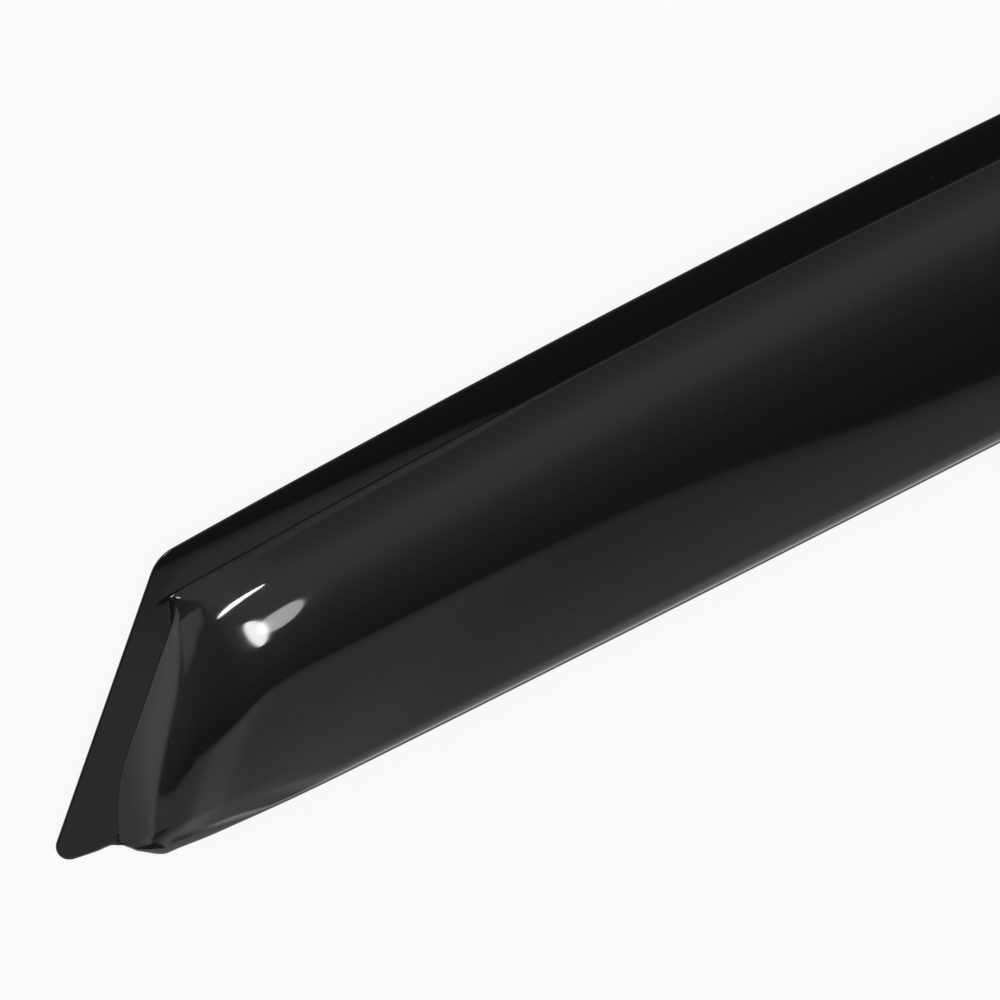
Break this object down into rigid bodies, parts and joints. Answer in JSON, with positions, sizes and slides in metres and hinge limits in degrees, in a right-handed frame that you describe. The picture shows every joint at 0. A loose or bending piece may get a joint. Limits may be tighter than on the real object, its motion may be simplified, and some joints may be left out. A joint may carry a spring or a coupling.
{
  "type": "window rain deflector",
  "caption": "Glossy dark acrylic rain deflector for a car door window: a long shallow moulded dome with a flat flange on its top edge and ends, open along its lower edge.",
  "frame": {"origin": "middle of the part's outline, in the plane of the back of its mounting flange", "axes": "+X along its length, away from the slanted end; +Y across it, towards the top edge with the flange; +Z out of the door, the way the dome stands out"},
  "size_m": [0.5618, 0.0894, 0.0191],
  "materials": {
    "visor": "polished, very dark smoke-tinted acrylic"
  },
  "bodies": {
    "root": {"visor": "visor"}
  },
  "joints": []
}
